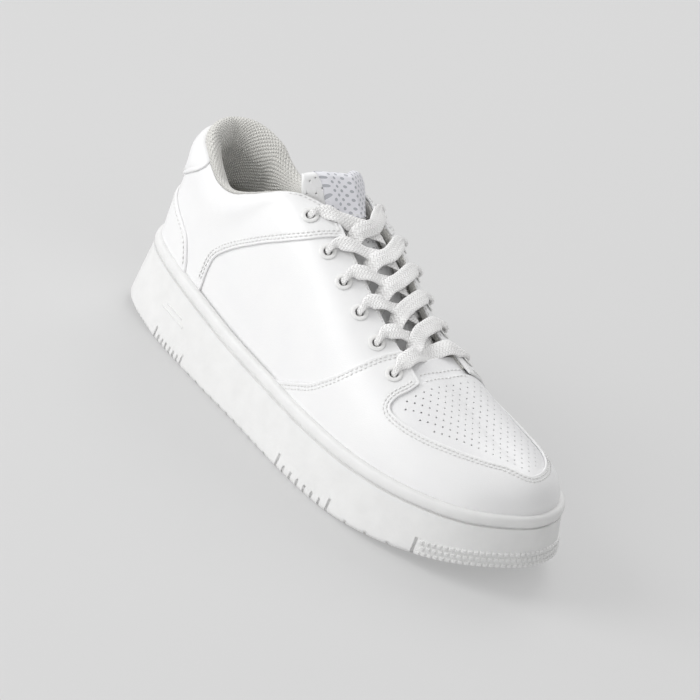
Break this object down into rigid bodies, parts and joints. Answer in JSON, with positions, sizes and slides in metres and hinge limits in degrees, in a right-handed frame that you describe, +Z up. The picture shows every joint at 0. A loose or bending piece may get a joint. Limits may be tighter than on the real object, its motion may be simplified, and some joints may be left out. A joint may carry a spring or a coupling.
{
  "type": "low-top court sneaker",
  "caption": "Right low-top court sneaker for cheering and sports, with a thick cup sole, panelled leather upper, padded tongue and flat laces.",
  "frame": {"origin": "on the ground under the middle of the sole, at the mount sole_bottom", "axes": "+X from heel to toe, +Y to the inner side of the foot, +Z up"},
  "size_m": [0.2893, 0.1028, 0.1279],
  "materials": {
    "cup_rubber": "matte",
    "leather": "semi-gloss",
    "foam": "matte",
    "board": "matte",
    "sockliner_fabric": "matte",
    "stiffener": "matte",
    "lining_mesh": "matte",
    "label_satin": "satin",
    "eyelet_enamel": "gloss",
    "lace_cotton": "matte",
    "lace_tip": "gloss"
  },
  "bodies": {
    "upper": {"outsole_cup": "cup_rubber", "midsole_foam": "foam", "insole_board": "board", "sockliner": "sockliner_fabric", "collar_overlay_lateral": "leather", "collar_overlay_medial": "leather", "quarter_lateral": "leather", "quarter_medial": "leather", "toe_overlay": "leather", "heel_panel": "leather", "heel_tab": "leather", "toe_vamp": "leather", "throat_strip": "leather", "heel_counter": "stiffener", "toe_puff": "stiffener", "collar_foam": "foam", "quarter_lining": "lining_mesh", "vamp_lining": "lining_mesh", "lace": "lace_cotton", "lace_tip_1": "lace_tip", "lace_tip_2": "lace_tip", "eyelet_lateral_1": "eyelet_enamel", "eyelet_medial_1": "eyelet_enamel", "eyelet_lateral_2": "eyelet_enamel", "eyelet_medial_2": "eyelet_enamel", "eyelet_lateral_3": "eyelet_enamel", "eyelet_medial_3": "eyelet_enamel", "eyelet_lateral_4": "eyelet_enamel", "eyelet_medial_4": "eyelet_enamel", "eyelet_lateral_5": "eyelet_enamel", "eyelet_medial_5": "eyelet_enamel", "eyelet_lateral_6": "eyelet_enamel", "eyelet_medial_6": "eyelet_enamel"},
    "tongue": {"tongue_shell": "leather", "tongue_foam": "foam", "tongue_lining": "lining_mesh", "tongue_label": "label_satin"}
  },
  "joints": [
    {"name": "tongue_hinge", "type": "hinge", "parent": "upper", "child": "tongue", "pos_m": [0.06, 0, 0.06], "axis": [0, -1, 0], "range_deg": [0, 3], "stiffness_Nm_per_rad": 1.2}
  ]
}
